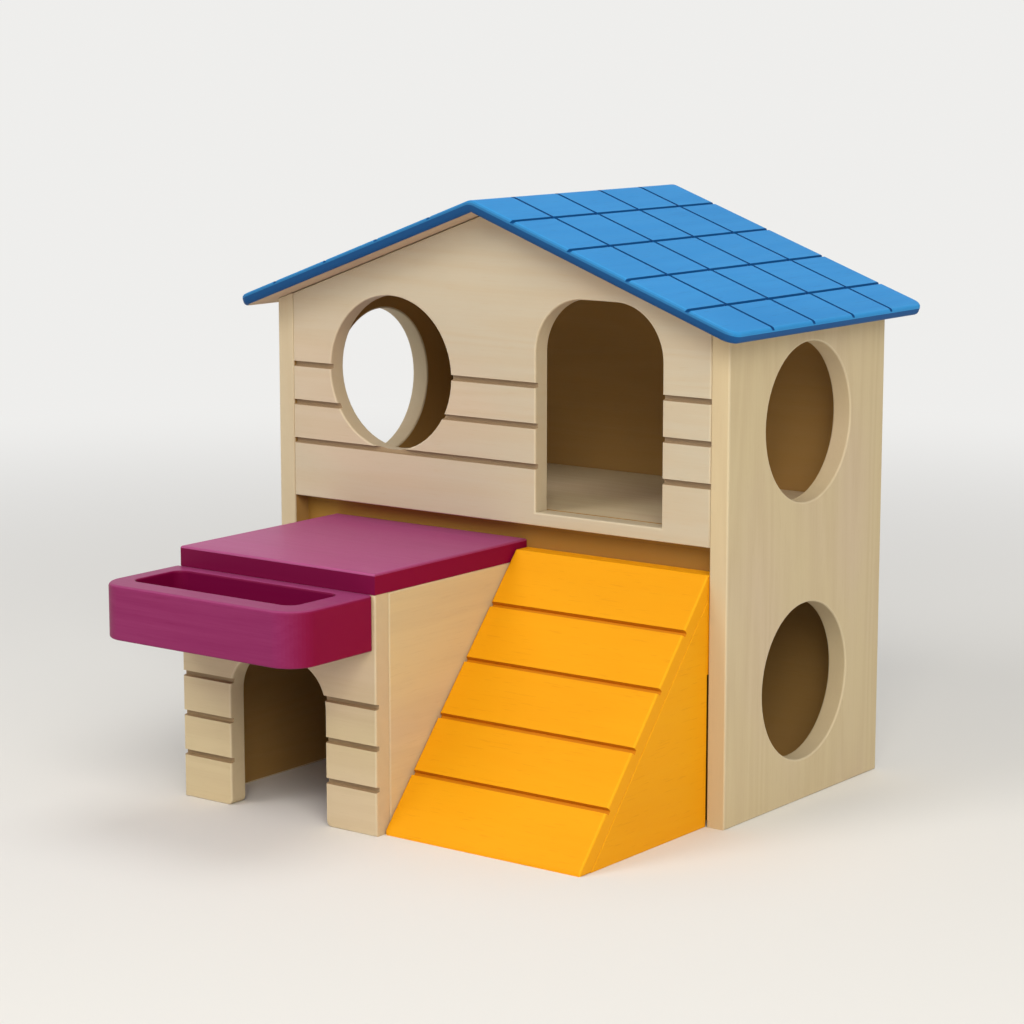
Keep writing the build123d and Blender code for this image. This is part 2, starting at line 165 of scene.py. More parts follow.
def cut_board(name, outline, cutouts=(), thickness=board, arris=soft_arris, back_arris=soft_arris):
    """A closed mesh object of a board, in its own frame."""
    mesh = bmesh.new()
    on_edge = mesh.faces.layers.float.new("edge")
    on_arris = mesh.faces.layers.float.new("arris")
    rims = ([], [])
    for loop in [wound(outline, 1)] + [wound(cutout, -1) for cutout in cutouts]:
        rings = []
        for step_in, height in edge_rings(thickness, arris, back_arris):
            rings.append([mesh.verts.new((p.real, p.imag, height)) for p in inset(loop, step_in)])
        for number, (lower, upper) in enumerate(zip(rings, rings[1:])):
            for k in range(len(loop)):
                face = mesh.faces.new((lower[k - 1], lower[k], upper[k], upper[k - 1]))
                face[on_arris if number > arris_steps else on_edge] = 1
        for rim, ring in zip(rims, (rings[0], rings[-1])):
            rim += [mesh.edges.get((ring[k - 1], ring[k])) for k in range(len(loop))]
    for rim, facing in zip(rims, (-1, 1)):
        bmesh.ops.triangle_fill(mesh, edges=rim, use_beauty=True, normal=(0, 0, facing))
    bmesh.ops.recalc_face_normals(mesh, faces=mesh.faces)
    return object_of(name, mesh)


def object_of(name, mesh):
    """A new object in the scene from a bmesh, which is used up."""
    data = bpy.data.meshes.new(name)
    mesh.to_mesh(data)
    mesh.free()
    made = bpy.data.objects.new(name, data)
    bpy.context.scene.collection.objects.link(made)
    return made


print("an edge is built from", len(edge_rings(board, soft_arris, soft_arris)), "rings")

# %% [markdown]
# ## Wires between nodes
# Node trees are easier to read as formulas. One small class stands for an output of a node. Arithmetic on it
# adds Math nodes, and its node method adds any other kind of node with its settings and inputs.

# %% The wire class


class Wire:
    """An output socket. Sums, differences and products of wires become Math nodes."""

    def __init__(self, socket):
        self.socket = socket

    @classmethod
    def node(cls, tree, kind, settings=None, inputs=None, output=0):
        """Adds a node: its settings first, then its inputs, by name or place, as values or wires."""
        made = tree.nodes.new(kind)
        for key, value in (settings or {}).items():
            setattr(made, key, value)
        for key, value in (inputs or {}).items():
            if isinstance(value, cls):
                tree.links.new(value.socket, made.inputs[key])
            else:
                made.inputs[key].default_value = value
        return cls(made.outputs[output])

    def math(self, operation, *values):
        """A Math node on values or wires, in the tree of this wire."""
        inputs = dict(enumerate(values))
        return Wire.node(self.socket.id_data, "ShaderNodeMath", {"operation": operation}, inputs)

    def other(self, name):
        """Another output of the same node."""
        return Wire(self.socket.node.outputs[name])

    def __add__(self, value):
        return self.math("ADD", self, value)

    def __radd__(self, value):
        return self.math("ADD", value, self)

    def __sub__(self, value):
        return self.math("SUBTRACT", self, value)

    def __rsub__(self, value):
        return self.math("SUBTRACT", value, self)

    def __mul__(self, value):
        return self.math("MULTIPLY", self, value)

    def __rmul__(self, value):
        return self.math("MULTIPLY", value, self)


print("a wire has the methods", [name for name in vars(Wire) if not name.startswith("__")])

# %% [markdown]
# ## Saw cuts
# The front panel, the annex posts, the ramp and the roof are all scored with a saw. One Geometry Nodes tree
# makes every cut: it sweeps a tapered profile along a line, sets copies of it along a row of points, and
# takes them out of the board. The faces that the saw leaves are marked, so a finish can tell them apart.

# %% The saw cut tree
groove_width = 1.3 * mm
groove_depth = 1.2 * mm
groove_flare = 1.25
clear_of_face = 0.5 * mm
floor_taper = 0.8


def saw_cut_tree():
    """Inputs: where the first cut lies, the step to the next, how they are turned, and the kerf's size."""
    tree = bpy.data.node_groups.new("saw_cuts", "GeometryNodeTree")
    sockets = [
        ("Board", "NodeSocketGeometry"),
        ("Count", "NodeSocketInt"),
        ("Start", "NodeSocketVector"),
        ("Step", "NodeSocketVector"),
        ("Turn", "NodeSocketVector"),
        ("Length", "NodeSocketFloat"),
        ("Width", "NodeSocketFloat"),
        ("Depth", "NodeSocketFloat"),
        ("Flare", "NodeSocketFloat"),
        ("Finish", "NodeSocketMaterial"),
    ]
    for name, kind in sockets:
        tree.interface.new_socket(name, in_out="INPUT", socket_type=kind)
    tree.interface.new_socket("Board", in_out="OUTPUT", socket_type="NodeSocketGeometry")
    given = Wire(tree.nodes.new("NodeGroupInput").outputs[0])
    length, width, depth = given.other("Length"), given.other("Width"), given.other("Depth")

    height = depth + clear_of_face
    middle = (clear_of_face - depth) * 0.5
    ends = []
    for side in (-0.5, 0.5):
        ends.append(Wire.node(tree, "ShaderNodeCombineXYZ", inputs={"X": length * side, "Z": middle}))
    line = Wire.node(tree, "GeometryNodeCurvePrimitiveLine", inputs={"Start": ends[0], "End": ends[1]})
    mouth, kerf_floor = width * given.other("Flare"), width * floor_taper
    sides = {"Height": height, "Bottom Width": mouth, "Top Width": kerf_floor, "Offset": 0.0}
    shape = {"mode": "TRAPEZOID"}
    profile = Wire.node(tree, "GeometryNodeCurvePrimitiveQuadrilateral", shape, sides)
    swept = {"Curve": line, "Profile Curve": profile, "Fill Caps": True}
    blade = Wire.node(tree, "GeometryNodeCurveToMesh", inputs=swept)
    mark = {"Geometry": blade, "Name": "kerf", "Value": 1.0}
    on_faces = {"data_type": "FLOAT", "domain": "FACE"}
    blade = Wire.node(tree, "GeometryNodeStoreNamedAttribute", on_faces, mark)
    row = {"Count": given.other("Count"), "Offset": given.other("Step")}
    row["Start Location"] = given.other("Start")
    points = Wire.node(tree, "GeometryNodeMeshLine", inputs=row)
    turn = Wire.node(tree, "FunctionNodeEulerToRotation", inputs={"Euler": given.other("Turn")})
    copies = {"Points": points, "Instance": blade, "Rotation": turn}
    blades = Wire.node(tree, "GeometryNodeInstanceOnPoints", inputs=copies)
    blades = Wire.node(tree, "GeometryNodeRealizeInstances", inputs={"Geometry": blades})
    taken = {"Mesh 1": given, "Mesh 2": blades}
    exact = {"operation": "DIFFERENCE", "solver": "EXACT"}
    cut = Wire.node(tree, "GeometryNodeMeshBoolean", exact, taken)
    whole = Wire.node(tree, "GeometryNodeRealizeInstances", inputs={"Geometry": cut})
    done = {"Geometry": whole, "Material": given.other("Finish")}
    finished = Wire.node(tree, "GeometryNodeSetMaterial", inputs=done)
    tree.links.new(finished.socket, tree.nodes.new("NodeGroupOutput").inputs[0])
    return tree


saw = saw_cut_tree()
saw_inputs = {item.name: item.identifier for item in saw.interface.items_tree if item.in_out == "INPUT"}


def plain_mesh(piece):
    """Replaces a piece's mesh by what its modifiers make of it, and takes them off."""
    graph = bpy.context.evaluated_depsgraph_get()
    piece.data = bpy.data.meshes.new_from_object(piece.evaluated_get(graph))
    piece.modifiers.clear()


def saw_cuts(
    piece,
    finish,
    count,
    start,
    step,
    length,
    width=groove_width,
    depth=groove_depth,
    turn=(0, 0, 0),
    flare=groove_flare,
):
    """Cuts a row of saw kerfs into a board, in the board's own frame. The flare opens the kerf's mouth."""
    modifier = piece.modifiers.new("saw cuts", "NODES")
    modifier.node_group = saw
    values = {"Count": count, "Start": start, "Step": step, "Turn": turn, "Length": length}
    values.update({"Width": width, "Depth": depth, "Flare": flare, "Finish": finish})
    for name, value in values.items():
        modifier[saw_inputs[name]] = value
    plain_mesh(piece)
    kerf = piece.data.attributes.get("kerf")
    marked = sum(1 for entry in kerf.data if entry.value > 0.5) if kerf else 0
    print(piece.name, "has", count, "saw cuts,", marked, "marked faces")


print("saw cut inputs", list(saw_inputs))

# %% [markdown]
# ## Finishes
# All finishes read what each board carries in its mesh: "grain" holds the place in the board's own frame,
# with X along the fibres, "straw" is the board's tone, which on the deck paints the sheen of its top,
# "end_grain" says how far a face looks along the fibres, and "edge", "arris", "kerf" and "rough" mark faces.
# A picture of wood could be laid on each face, but wood is solid: one three-dimensional pattern gives faces,
# edges and ends that fit each other.

# %% What all wood finishes share


def new_finish(name, specular):
    """A new material with one Principled shader. Gives the material, its node tree and the shader."""
    material = bpy.data.materials.new(name)
    material.use_nodes = True
    tree = material.node_tree
    shader = tree.nodes["Principled BSDF"]
    shader.inputs["Specular IOR Level"].default_value = specular
    return material, tree, shader


def carried(tree, name, output):
    """What the mesh carries under that name: Vector for a place, Fac for a number."""
    return Wire.node(tree, "ShaderNodeAttribute", {"attribute_name": name}).other(output)


def streaks(tree, place, along, across, detail, roughness=0.5):
    """Noise drawn out along the fibres: features per metre along and across."""
    scaled = {"Vector": place, "Scale": (along, across, across)}
    mapped = Wire.node(tree, "ShaderNodeMapping", inputs=scaled)
    shape = {"Vector": mapped, "Scale": 1.0, "Detail": detail, "Roughness": roughness}
    return Wire.node(tree, "ShaderNodeTexNoise", inputs=shape)


def blend(tree, share, first, second):
    """A colour between two others."""
    inputs = {0: share, 6: first, 7: second}
    return Wire.node(tree, "ShaderNodeMix", {"data_type": "RGBA"}, inputs, output=2)


def step_up(wire, low, high):
    """0 below low, 1 above high, smooth between."""
    smooth_step = {"interpolation_type": "SMOOTHSTEP"}
    inputs = {"Value": wire, "From Min": low, "From Max": high}
    return Wire.node(wire.socket.id_data, "ShaderNodeMapRange", smooth_step, inputs)


ring_swell = {"along": 5, "across": 62, "detail": 1.5}
ring_waves = 62
fibre_streaks = {"along": 46, "across": 1900, "detail": 3, "roughness": 0.65}
pore_streaks = {"along": 170, "across": 2600, "detail": 1}
pore_range = (0.64, 0.72)
mottle_clouds = {"along": 14, "across": 30, "detail": 2}


def wood_figure(tree, place):
    """The patterns of the wood: growth rings, fibres, pores and mottling, each from 0 to 1."""
    waves = streaks(tree, place, **ring_swell) * ring_waves
    rings = waves.math("SINE", waves) * 0.5 + 0.5
    fibres = streaks(tree, place, **fibre_streaks)
    pores = step_up(streaks(tree, place, **pore_streaks), *pore_range)
    mottle = streaks(tree, place, **mottle_clouds)
    return rings, fibres, pores, mottle


def mark_colours(tree, base, marks):
    """The base colour, turned towards another colour by a share of each mark that the board carries."""
    for mark, share, colour in marks:
        base = blend(tree, carried(tree, mark, "Fac") * share, base, colour)
    return base


def dress(tree, shader, base, roughness, height, strength, depth):
    """Wires a colour, a roughness and a fine relief to the shader."""
    tree.links.new(base.socket, shader.inputs["Base Color"])
    tree.links.new(roughness.socket, shader.inputs["Roughness"])
    relief = {"Height": height, "Strength": strength, "Distance": depth}
    bump = Wire.node(tree, "ShaderNodeBump", inputs=relief)
    tree.links.new(bump.socket, shader.inputs["Normal"])


print("fibres are", round(1 / fibre_streaks["across"] / mm, 2), "mm wide")

# %% [markdown]
# Bare wood: pale, sanded smooth and hardly figured. The rings only tint it, some boards lean to pink and
# some to straw, and sawn edges and ends drink light. Saw kerfs are browner, partly as a little scorch and
# partly as painted shade in the grooves, and the rounded arris is painted lighter as a highlight. Faces
# marked rough get a rougher surface and a brown colour that is painted shade: the insides of the rooms,
# the annex walls inside, and the lower front wall and floor edge under the panel. The pegs carry no marks
# of their own, so their pattern reads the place in the object.

# %% Bare pale wood
pale_wood = (0.54, 0.475, 0.362, 1)
straw_wood = (0.65, 0.52, 0.295, 1)
ring_wood = (0.53, 0.40, 0.24, 1)
pink_wood = (0.62, 0.485, 0.35, 1)
# A lighter colour for the rounded arris, which is a painted highlight.
arris_highlight_wood = (0.70, 0.60, 0.43, 1)
end_wood = (0.56, 0.45, 0.29, 1)
# The brown in saw kerfs is partly a little scorch and partly painted shade in the grooves.
kerf_scorch_and_shade_wood = (0.30, 0.185, 0.09, 1)
# A dark brown for faces marked rough, which is painted shade: the dim rooms and the strip under the panel.
painted_shade_wood = (0.325, 0.16, 0.017, 1)
bare_marks = [
    ("arris", 0.35, arris_highlight_wood),
    ("edge", 0.25, end_wood),
    ("end_grain", 0.45, end_wood),
    ("rough", 0.95, painted_shade_wood),
    ("kerf", 0.75, kerf_scorch_and_shade_wood),
]
pink_range = (0.42, 0.72)
pink_share = 0.6
ring_share = 0.24
fibre_share = 0.45
pore_share = 0.22


def bare_wood(name, place_node, place_settings, place_output):
    """Pale wood, with its pattern on the place that one node gives."""
    material, tree, shader = new_finish(name, specular=0.3)
    place = Wire.node(tree, place_node, place_settings).other(place_output)
    rings, fibres, pores, mottle = wood_figure(tree, place)
    base = blend(tree, carried(tree, "straw", "Fac"), pale_wood, straw_wood)
    base = blend(tree, step_up(mottle, *pink_range) * pink_share, base, pink_wood)
    base = blend(tree, rings * ring_share + (fibres - 0.5) * fibre_share, base, ring_wood)
    base = blend(tree, pores * pore_share, base, ring_wood)
    base = mark_colours(tree, base, bare_marks)
    roughness = fibres * 0.22 + rings * 0.06 + carried(tree, "rough", "Fac") * 0.3 + 0.44
    relief = fibres - pores * 0.6 + rings * 0.2
    dress(tree, shader, base, roughness, relief, strength=0.16, depth=0.12 * mm)
    return material


natural = bare_wood("bare_wood", "ShaderNodeAttribute", {"attribute_name": "grain"}, "Vector")
peg_wood = bare_wood("peg_wood", "ShaderNodeTexCoord", {}, "Object")
print("bare wood with", len(natural.node_tree.nodes), "nodes")

# %% [markdown]
# Stained wood: the colour soaks in, so the fibres still show as faint streaks. Ends soak up more and dry
# darker. Edges and saw kerfs take the deep colour too, partly from the deeper soak and partly as painted
# shade, and the arrises are painted a touch lighter as a highlight. The deck is paler, which paints the
# sheen of its top. The underside of the roof was left without stain. One function makes all three colours,
# because they differ only in their numbers.

# %% Stained wood
unstained_wood = (0.58, 0.46, 0.32, 1)
end_share = 0.9
deep_range = (0.35, 0.75)
plain_tone = 0.5


def stained_wood(
    name,
    colour,
    deep,
    light,
    end,
    figure,
    specular,
    sheen_roughness,
    edge_soak_and_shade_share,
    arris_highlight_share,
    kerf_soak_and_shade_share,
):
    """Wood stained in one colour: deep in edges and kerfs, partly as painted shade, painted lighter on the
    arris as a highlight, and bare where the back was left rough. The figure says how much of the wood still
    shows through, and a board with more than the plain tone is paler, which on the deck paints its sheen."""
    material, tree, shader = new_finish(name, specular)
    rings, fibres, pores, mottle = wood_figure(tree, carried(tree, "grain", "Vector"))
    # Boards above the plain tone are paler; on the deck this paints the sheen of its top.
    painted_sheen = (carried(tree, "straw", "Fac") - plain_tone) * 2
    base = blend(tree, (fibres - 0.35) * figure + rings * (0.25 * figure) + painted_sheen, colour, light)
    base = blend(tree, step_up(mottle, *deep_range) * (0.4 * figure), base, deep)
    base = blend(tree, pores * (0.5 * figure), base, deep)
    # Edges take the deep colour, partly as the deeper soak of the stain and partly as painted shade.
    marks = [("edge", edge_soak_and_shade_share, deep), ("end_grain", end_share, end), ("rough", 1.0, unstained_wood)]
    # The arris is painted lighter as a highlight, and kerfs take the deep colour, partly as painted shade.
    marks += [("arris", arris_highlight_share, light), ("kerf", kerf_soak_and_shade_share, deep)]
    base = mark_colours(tree, base, marks)
    roughness = fibres * 0.16 + mottle * 0.1 + carried(tree, "rough", "Fac") * 0.35 + (sheen_roughness - 0.1)
    dress(tree, shader, base, roughness, fibres - pores * 0.5, strength=0.12, depth=0.1 * mm)
    return material


blue = stained_wood(
    "blue_stain",
    colour=(0.018, 0.254, 0.64, 1),
    deep=(0.008, 0.062, 0.225, 1),
    light=(0.08, 0.42, 0.82, 1),
    end=(0.008, 0.062, 0.185, 1),
    figure=0.3,
    specular=0.12,
    sheen_roughness=0.5,
    edge_soak_and_shade_share=0.85,
    arris_highlight_share=0.2,
    kerf_soak_and_shade_share=0.65,
)
purple = stained_wood(
    "purple_stain",
    colour=(0.228, 0.021, 0.099, 1),
    deep=(0.165, 0.001, 0.04, 1),
    light=(0.42, 0.092, 0.24, 1),
    end=(0.225, 0.002, 0.036, 1),
    figure=0.22,
    specular=0.07,
    sheen_roughness=0.38,
    edge_soak_and_shade_share=0.95,
    arris_highlight_share=0.35,
    kerf_soak_and_shade_share=0.9,
)
yellow = stained_wood(
    "yellow_stain",
    colour=(0.885, 0.375, 0.004, 1),
    deep=(0.60, 0.20, 0.004, 1),
    light=(0.92, 0.45, 0.012, 1),
    end=(0.89, 0.375, 0.006, 1),
    figure=0.35,
    specular=0.1,
    sheen_roughness=0.5,
    edge_soak_and_shade_share=0.1,
    arris_highlight_share=0.4,
    kerf_soak_and_shade_share=0.9,
)
finishes = {
    "natural_wood": natural,
    "blue_stained_wood": blue,
    "purple_stained_wood": purple,
    "yellow_stained_wood": yellow,
    "peg_wood": peg_wood,
}
print("finishes", sorted(finishes))

# %% [markdown]
# ## Placing a board
# A finished board is turned into its place in the house by moving its points, so its object stays at the
# origin. Before that, its mesh is told where each point lies along the grain, and the board's tone, set
# board by board: on bare wood it leans the board to straw, and on the deck it makes the stain paler, which
# paints the sheen of its top. Weighted normals then keep the broad faces flat while the small arris faces
# shade round.

# %% Putting a board in its place
slots = {entry["node"]: entry["material_slot"] for entry in frame["record"]["subparts"]}
bodies = {node: name for name, nodes in frame["record"]["behaviour"]["bodies"].items() for node in nodes}
# The deck's high tone paints the sheen of its top.
tones_and_sheen = {
    "front_gable_panel": 0.1,
    "left_side_wall": 0.4,
    "right_side_wall": 0.8,
    "annex_front_wall": 0.8,
    "annex_right_wall": 1.0,
    "deck_board": 0.95,
}
draws = np.random.default_rng(7)
furthest_shift = 2
shade_angle = radians(50)
flat_weight = 100


def placed(origin, across, up):
    """The place of a board: its origin, and where its X and Y point in the house."""
    across, up = Vector(across), Vector(up)
    turn = Matrix((across, up, across.cross(up))).transposed()
    return Matrix.Translation(origin) @ turn.to_4x4()


def carry_grain(mesh, along, rough, straw):
    """Stores the place along the grain, the board's tone, the share of end grain and the rough faces. Each
    board gets its own part of the pattern by a random shift."""
    count = len(mesh.vertices)
    points = np.empty(count * 3, np.float32)
    mesh.vertices.foreach_get("co", points)
    points = points.reshape(-1, 3)
    order = [along] + [k for k in range(3) if k != along]
    shift = draws.uniform(-furthest_shift, furthest_shift, 3)
    grain = points[:, order] + shift.astype(np.float32)
    mesh.attributes.new("grain", "FLOAT_VECTOR", "POINT").data.foreach_set("vector", grain.ravel())
    tone = np.full(count, straw, np.float32)
    mesh.attributes.new("straw", "FLOAT", "POINT").data.foreach_set("value", tone)
    ends = np.array([face.normal[along] ** 2 for face in mesh.polygons], np.float32)
    mesh.attributes.new("end_grain", "FLOAT", "FACE").data.foreach_set("value", ends)
    flat = [round(face.normal.z, 2) for face in mesh.polygons]
    others = rough.get("others", 0)
    sawn = np.array([rough.get(side, others) for side in flat], np.float32)
    mesh.attributes.new("rough", "FLOAT", "FACE").data.foreach_set("value", sawn)


smooth = {}
# Bare boards' faces inside the rooms are marked rough, which also paints the rooms' shade into them.
room_rough_and_shade = 0.9
rough_shaded_face = {1: room_rough_and_shade}
rough_shaded_back = {-1: room_rough_and_shade}


def fit_piece(piece, node, place, along=0, rough=smooth):
    """Stands a finished board in for a node. The grain runs along X, Y or Z of the board (0, 1 or 2), and
    rough says how rough its face (1), its back (-1) and its other faces are, from 0 to 1. On bare wood the
    same share also paints shade into their colour."""
    carry_grain(piece.data, along, rough, tones_and_sheen.get(node, plain_tone))
    piece.data.transform(place)
    piece.data.materials.clear()
    piece.data.materials.append(finishes[slots[node]])
    piece.data.shade_smooth()
    piece.data.set_sharp_from_angle(angle=shade_angle)
    weighted = piece.modifiers.new("flat faces", "WEIGHTED_NORMAL")
    weighted.keep_sharp = True
    weighted.weight = flat_weight
    plain_mesh(piece)
    piece.name = node + "_made"
    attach(piece, bodies[node])
    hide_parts(node)
    print(piece.name, len(piece.data.polygons), "faces")


def facing_front(y):
    """A place for boards that face the front, with their back at that depth."""
    return placed((0, y, 0), (1, 0, 0), (0, 0, 1))


# %% [markdown]
# ## The walls
# The two side walls run from front to rear with a round window for each storey. A Boolean could cut the
# windows, but as inner loops of the outline they get the same soft arris as the edges. The tops are planed
# to the slope of the roof: the points of the top edge are raised towards the inside of the house.

# %% Side walls
roof_pitch = radians(20)
above_window = 1 * mm
wall_depth = rear_y - front_y
wall_outer_height = house_high.z - board * tan(roof_pitch)
planed_from = middle_height("right_upper_window") + window_radius + above_window

for node, side in (("right_side_wall", 1), ("left_side_wall", -1)):
    heights = [middle_height("right_lower_window"), middle_height("right_upper_window")]
    windows = [circle_of(wall_depth / 2, z, window_radius) for z in heights]
    corners = [(0, 0), (wall_depth, 0), (wall_depth, wall_outer_height), (0, wall_outer_height)]
    wall = cut_board(node, outline_of(corners), windows)
    for vertex in wall.data.vertices:
        if vertex.co.y > planed_from:
            vertex.co.y += (board - vertex.co.z) * tan(roof_pitch)
    start_y = front_y if side > 0 else rear_y
    place = placed((side * inner_half, start_y, 0), (0, side, 0), (0, 0, 1))
    fit_piece(wall, node, place, along=1, rough=rough_shaded_back)

# %% [markdown]
# The front panel fills the gable between them, flush with their edges. It has a round window, a door with
# round top corners and three saw cuts that imitate siding. The cuts could be dark lines in the finish, but
# cut into the board they catch shadow from every side.

# %% Front panel
door_width = 38 * mm
door_height = 54 * mm
door_corner = 14 * mm
groove_pitch = 10.2 * mm
groove_count = 3
panel_groove_rise = 14.9 * mm
panel_reach = 3 * inner_half

eave_z = house_high.z
gable = [(-inner_half, eave_z), (-inner_half, panel_low.z)]
gable += [(inner_half, panel_low.z), (inner_half, eave_z), (0, panel_high.z)]
door_left, door_right = opening_x - door_width / 2, opening_x + door_width / 2
door_top = floor_high.z + door_height
door = [(door_left, floor_high.z), (door_right, floor_high.z)]
door += [(door_right, door_top, door_corner), (door_left, door_top, door_corner)]
window = circle_of(-opening_x, middle_height("front_window"), window_radius)
panel = cut_board("front_gable_panel", outline_of(gable), [window, outline_of(door)])
first_cut = (0, panel_low.z + panel_groove_rise, board)
next_cut = (0, groove_pitch, 0)
saw_cuts(panel, natural, groove_count, first_cut, next_cut, panel_reach)
fit_piece(panel, "front_gable_panel", facing_front(panel_high.y), along=0, rough=rough_shaded_back)

# %% [markdown]
# Behind it are the plain boards: the rear wall, the lower front wall with its passage to the annex, the
# upper floor and the two rails that carry it. The lower front wall and the edge of the floor show as a
# strip above the deck in the shade of the panel, so they are marked rough all over, which paints that shade
# brown, and their arrises are tight.

# %% Rear wall, lower front wall and floor
arch_width = 31 * mm
arch_height = 40 * mm
arch_corner = 11 * mm
tight_arris = 0.1 * mm
rough_shaded_all = {"others": 1.0}
rough_shaded_but_face = {1: 0, "others": 1.0}

rear_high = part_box("rear_wall")[1]
rear = [(-inner_half, 0), (inner_half, 0), (inner_half, eave_z), (0, rear_high.z), (-inner_half, eave_z)]
rear_wall = cut_board("rear_wall", outline_of(rear))
fit_piece(rear_wall, "rear_wall", facing_front(rear_high.y), along=0, rough=rough_shaded_face)


def arched(low_x, high_x, top, foot_round):
    """The outline of a wall with an arch cut up from its lower edge, and soft corners at its feet."""
    left, right = annex_middle - arch_width / 2, annex_middle + arch_width / 2
    corners = [(low_x, 0), (left, 0, foot_round)]
    corners += [(left, arch_height, arch_corner), (right, arch_height, arch_corner)]
    return outline_of(corners + [(right, 0, foot_round), (high_x, 0), (high_x, top), (low_x, top)])


lower_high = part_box("lower_front_wall")[1]
lower_outline = arched(-inner_half, inner_half, lower_high.z, foot_round=0)
lower_wall = cut_board("lower_front_wall", lower_outline, arris=tight_arris)
fit_piece(lower_wall, "lower_front_wall", facing_front(lower_high.y), along=0, rough=rough_shaded_all)


def block(node, along, arris=soft_arris, back_arris=soft_arris, rough=smooth):
    """A plain board or stick that fills its node's box, lying flat."""
    low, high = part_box(node)
    corners = [(low.x, low.y), (high.x, low.y), (high.x, high.y), (low.x, high.y)]
    thickness = high.z - low.z
    stick = cut_board(node, outline_of(corners), thickness=thickness, arris=arris, back_arris=back_arris)
    fit_piece(stick, node, Matrix.Translation((0, 0, low.z)), along=along, rough=rough)


block("upper_floor", along=0, back_arris=tight_arris, rough=rough_shaded_but_face)
block("left_floor_rail", along=1)
block("right_floor_rail", along=1)

# %% [markdown]
# ## The roof
# Each roof board lies on the slope, from the ridge to the eave, with round corners at the eave and a grid
# of scored lines. Separate tiles would be wrong: the real roof is one board on each side, so the saw tree
# cuts it twice, along the ridge and down the slope. The board is cut a little too long at the ridge, mitred
# on the middle plane of the house, and its top edge is then worn down to the round ridge.

# %% Roof boards
roof_thickness = 3 * mm
roof_corner = 3.5 * mm
roof_arris = 1 * mm
ridge_round = 4 * mm
ridge_allowance = 3 * mm
tile_height = 18.2 * mm
tile_length = 18.7 * mm
tile_lines = 4
score = {"width": 1.3 * mm, "depth": 0.7 * mm, "flare": 0.95}
bare_back = {-1: 1.0}
same_point = 1e-7

# The box touches the rounded arris, and the sharp edge before rounding lies a little further out.
roof_low, roof_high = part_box("right_roof_board")
eave_x = roof_high.x + roof_arris * (cos(roof_pitch) + sin(roof_pitch) - 1)
# The undersides meet at under_apex. Lengths down the slope are measured from there.
ridge_centre = roof_high.z - ridge_round
under_apex = ridge_centre + (ridge_round - roof_thickness) / cos(roof_pitch)
slope_end = (eave_x - roof_thickness * sin(roof_pitch)) / cos(roof_pitch)
top_apex_slope = -roof_thickness * tan(roof_pitch)
slope_length = eave_x / cos(roof_pitch)
roof_length = roof_high.y - roof_low.y
ridge_reach = ridge_round * sin(roof_pitch)


def scored_roof_board(name):
    """A roof board in its own frame: X down the slope, Y along the ridge."""
    corners = [(-ridge_allowance, 0), (slope_end, 0, roof_corner), (slope_end, roof_length, roof_corner)]
    corners.append((-ridge_allowance, roof_length))
    sizes = {"thickness": roof_thickness, "arris": roof_arris, "back_arris": roof_arris}
    made = cut_board(name, outline_of(corners), **sizes)
    first_row = top_apex_slope + slope_length / 2 - tile_height * (tile_lines - 1) / 2
    first_column = roof_length / 2 - tile_length * (tile_lines - 1) / 2
    row_start = (first_row, roof_length / 2, roof_thickness)
    row_step = (tile_height, 0, 0)
    row_turn = (0, 0, pi / 2)
    saw_cuts(made, blue, tile_lines, row_start, row_step, 2 * roof_length, turn=row_turn, **score)
    column_start = (slope_end / 2, first_column, roof_thickness)
    column_step = (0, tile_length, 0)
    saw_cuts(made, blue, tile_lines, column_start, column_step, 2 * slope_end, **score)
    return made


def mitre(piece, place):
    """Cuts the board on the middle plane of the house and rounds the ridge over."""
    mesh = bmesh.new()
    mesh.from_mesh(piece.data)
    mesh.transform(place)
    side = 1 if place.col[0].x > 0 else -1
    sideways = {"plane_no": (side, 0, 0), "dist": same_point}
    planes = [side * ridge_reach * k / arris_steps for k in range(arris_steps, 0, -1)]
    for x in planes:
        geometry = mesh.verts[:] + mesh.edges[:] + mesh.faces[:]
        bmesh.ops.bisect_plane(mesh, geom=geometry, plane_co=(x, 0, 0), **sideways)
    geometry = mesh.verts[:] + mesh.edges[:] + mesh.faces[:]
    cut = bmesh.ops.bisect_plane(mesh, geom=geometry, plane_co=(0, 0, 0), clear_inner=True, **sideways)
    seam = [item for item in cut["geom_cut"] if isinstance(item, bmesh.types.BMEdge)]
    bmesh.ops.triangle_fill(mesh, edges=seam, use_beauty=True, normal=(-side, 0, 0))
    mid_depth = under_apex + roof_thickness / 2
    for vertex in mesh.verts:
        x = abs(vertex.co.x)
        if x < ridge_reach and vertex.co.z > mid_depth - x * tan(roof_pitch):
            arc = ridge_centre + (ridge_round ** 2 - x ** 2) ** 0.5
            flat = ridge_centre + ridge_round / cos(roof_pitch) - x * tan(roof_pitch)
            vertex.co.z += arc - flat
    bmesh.ops.recalc_face_normals(mesh, faces=mesh.faces)
    mesh.transform(place.inverted())
    mesh.to_mesh(piece.data)
    mesh.free()


for node, side in (("right_roof_board", 1), ("left_roof_board", -1)):
    roof_board = scored_roof_board(node)
    down_slope = (side * cos(roof_pitch), 0, -sin(roof_pitch))
    start_y = roof_low.y if side > 0 else roof_high.y
    place = placed((0, start_y, under_apex), down_slope, (0, side, 0))
    mitre(roof_board, place)
    fit_piece(roof_board, node, place, along=1, rough=bare_back)

# %% [markdown]
# Under the roof, out of sight until it is lifted, two formers hold the boards at their angle and a batten
# backs the ridge. All three are cut from their front view, with tops that follow the roof's underside.

# %% Formers and ridge batten


def under_roof(x):
    """The height of the roof's underside."""
    return under_apex - abs(x) * tan(roof_pitch)


